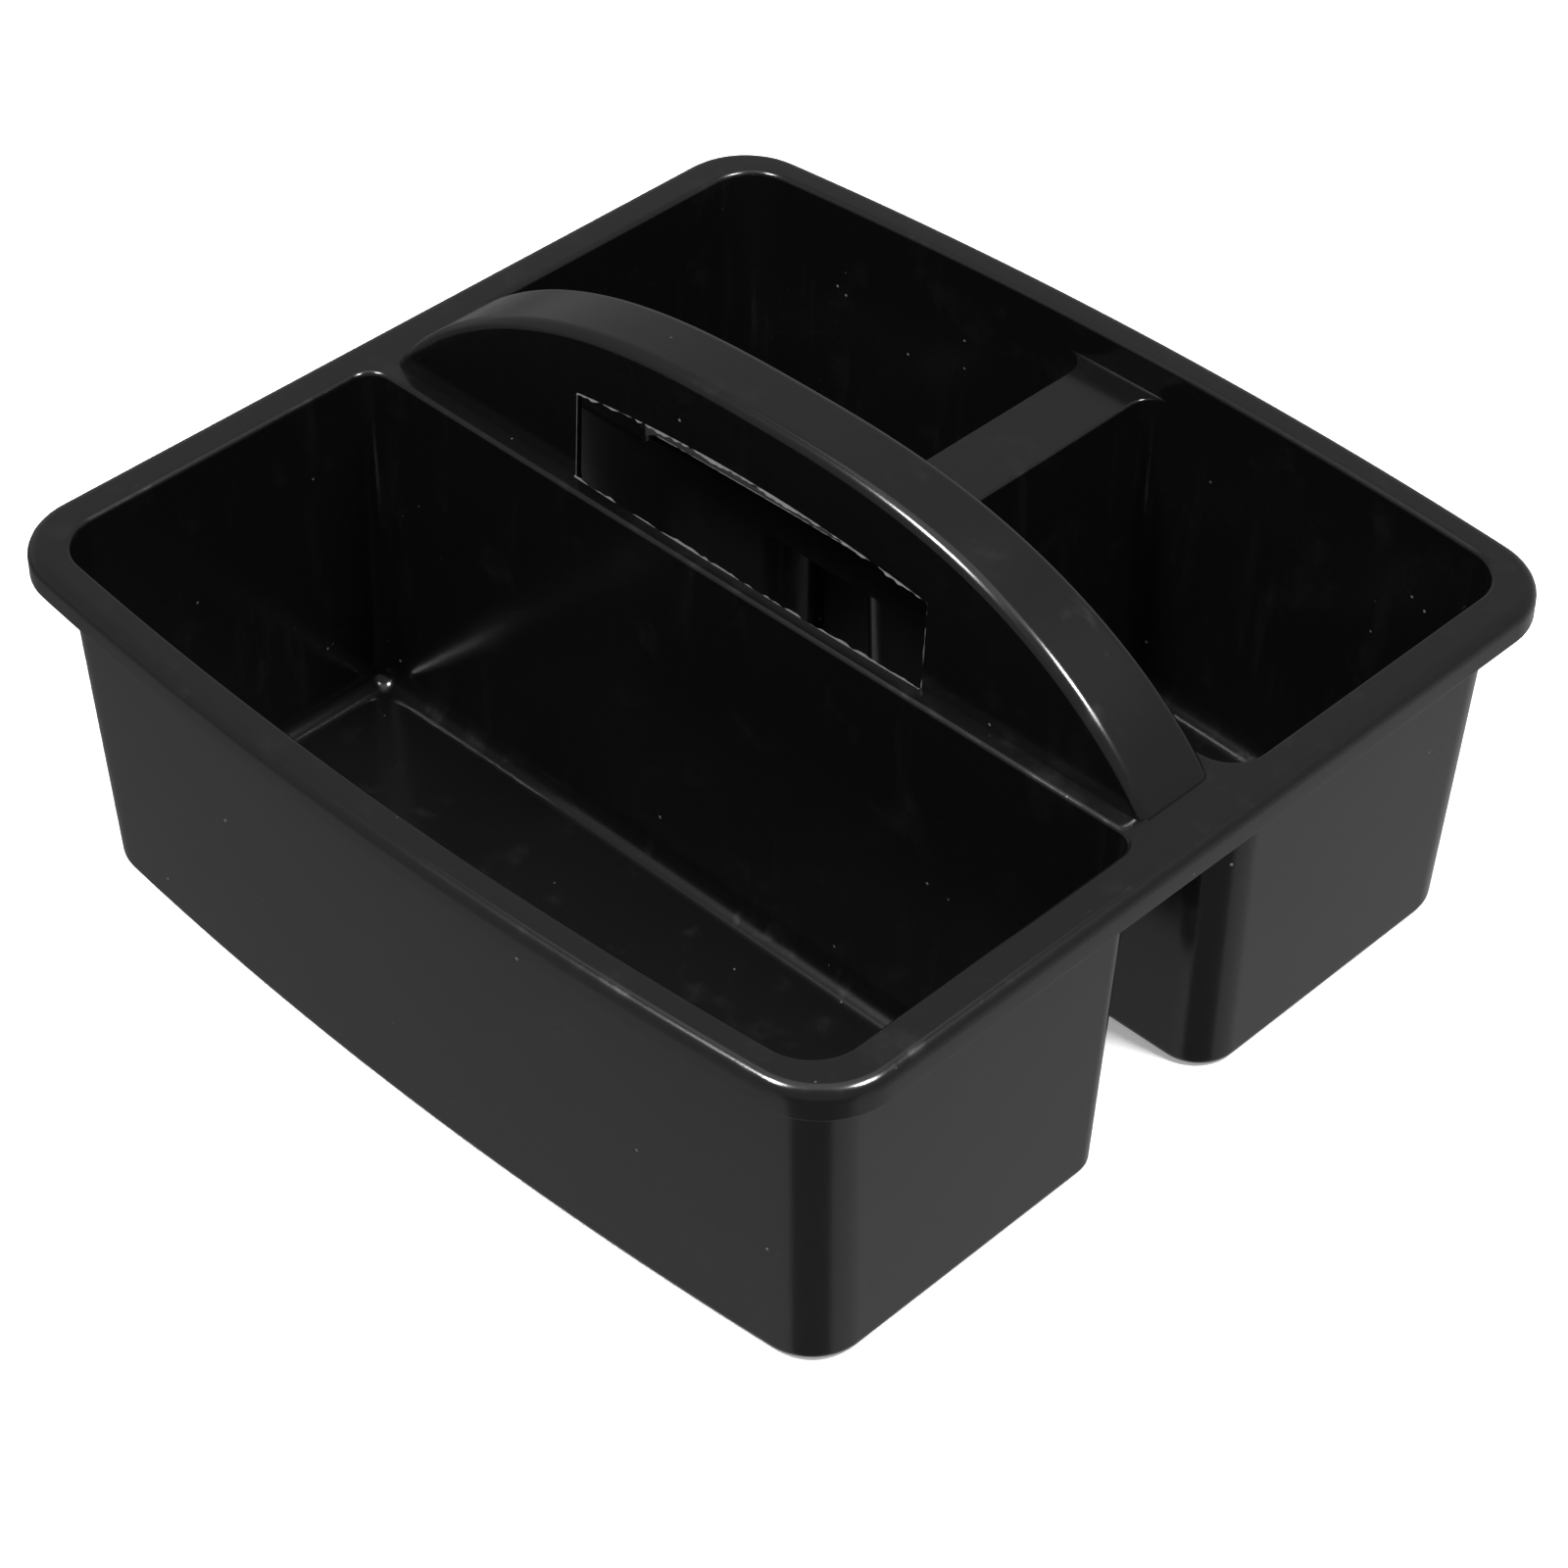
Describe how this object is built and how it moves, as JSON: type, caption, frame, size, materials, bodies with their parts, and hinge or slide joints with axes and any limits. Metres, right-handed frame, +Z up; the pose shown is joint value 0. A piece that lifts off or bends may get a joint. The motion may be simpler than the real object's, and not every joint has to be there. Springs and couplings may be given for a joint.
{
  "type": "cleaning caddy",
  "caption": "Open moulded plastic carry caddy with a wide front bin, small rear bins, a rolled rim and a hollow arched handle with a finger slot.",
  "frame": {"origin": "on the surface the caddy stands on, under the middle of the rim", "axes": "+Z up; X along the handle and the caddy's length; -Y towards the large front bin, +Y towards the small rear bins"},
  "size_m": [0.33, 0.318, 0.1723],
  "materials": {
    "black_plastic": "semi-gloss moulded black polypropylene"
  },
  "bodies": {
    "root": {"front_bin": "black_plastic", "rear_left_bin": "black_plastic", "rear_right_bin": "black_plastic", "rim": "black_plastic", "centre_deck": "black_plastic", "rear_divider_bridge": "black_plastic", "handle": "black_plastic"}
  },
  "joints": []
}
